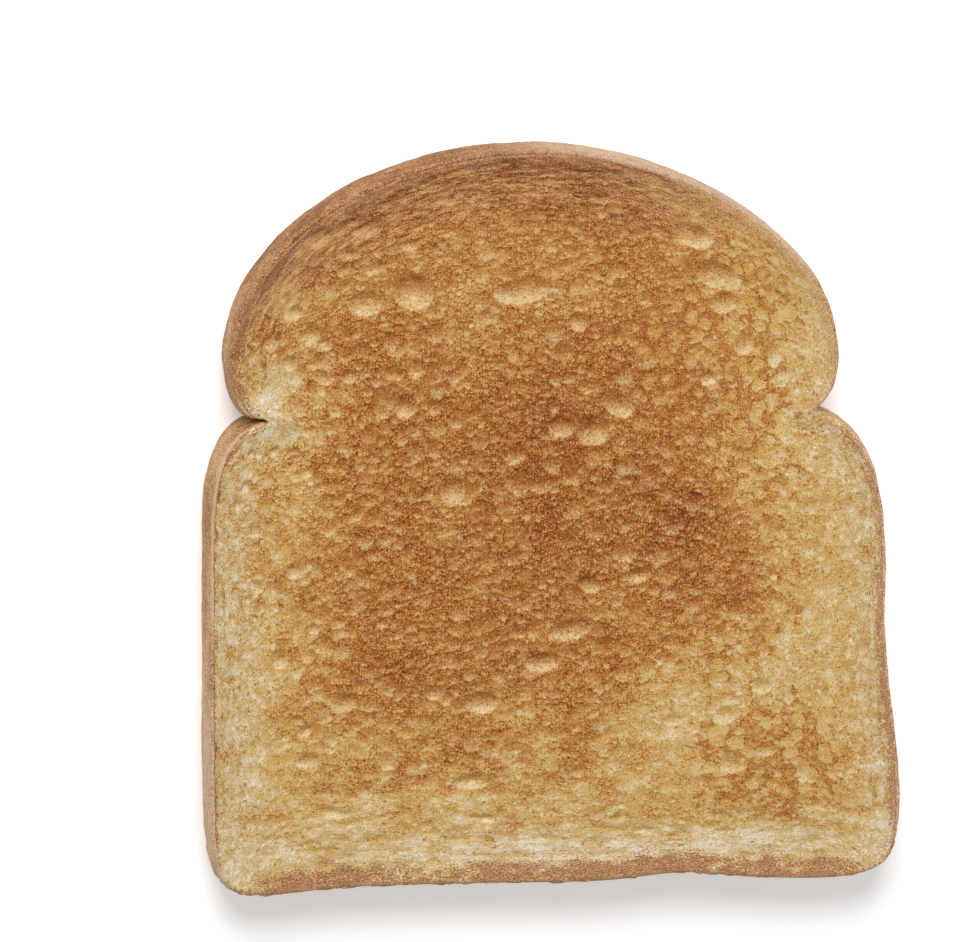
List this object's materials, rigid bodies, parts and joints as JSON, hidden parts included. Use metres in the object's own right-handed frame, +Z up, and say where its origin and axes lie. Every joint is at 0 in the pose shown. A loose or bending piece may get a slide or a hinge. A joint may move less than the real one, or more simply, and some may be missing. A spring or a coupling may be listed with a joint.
{
  "type": "toast slice",
  "caption": "Slice of toasted white sandwich bread with a mushroom-shaped outline, a bulging crust, a sunken porous crumb and a fold under each side of its crown.",
  "frame": {"origin": "centre of the slice's box, on the flat underside that it rests on", "axes": "+Z up through the slice, out of the browner face; +Y from the loaf's base towards its crown; +X to the right when the browner face is seen with the crown up"},
  "size_m": [0.1127, 0.1201, 0.012],
  "materials": {
    "toasted_crumb": "matte, porous, browned unevenly",
    "crust": "matte, finely wrinkled"
  },
  "bodies": {
    "root": {"toast_slice": "toasted_crumb"}
  },
  "joints": []
}
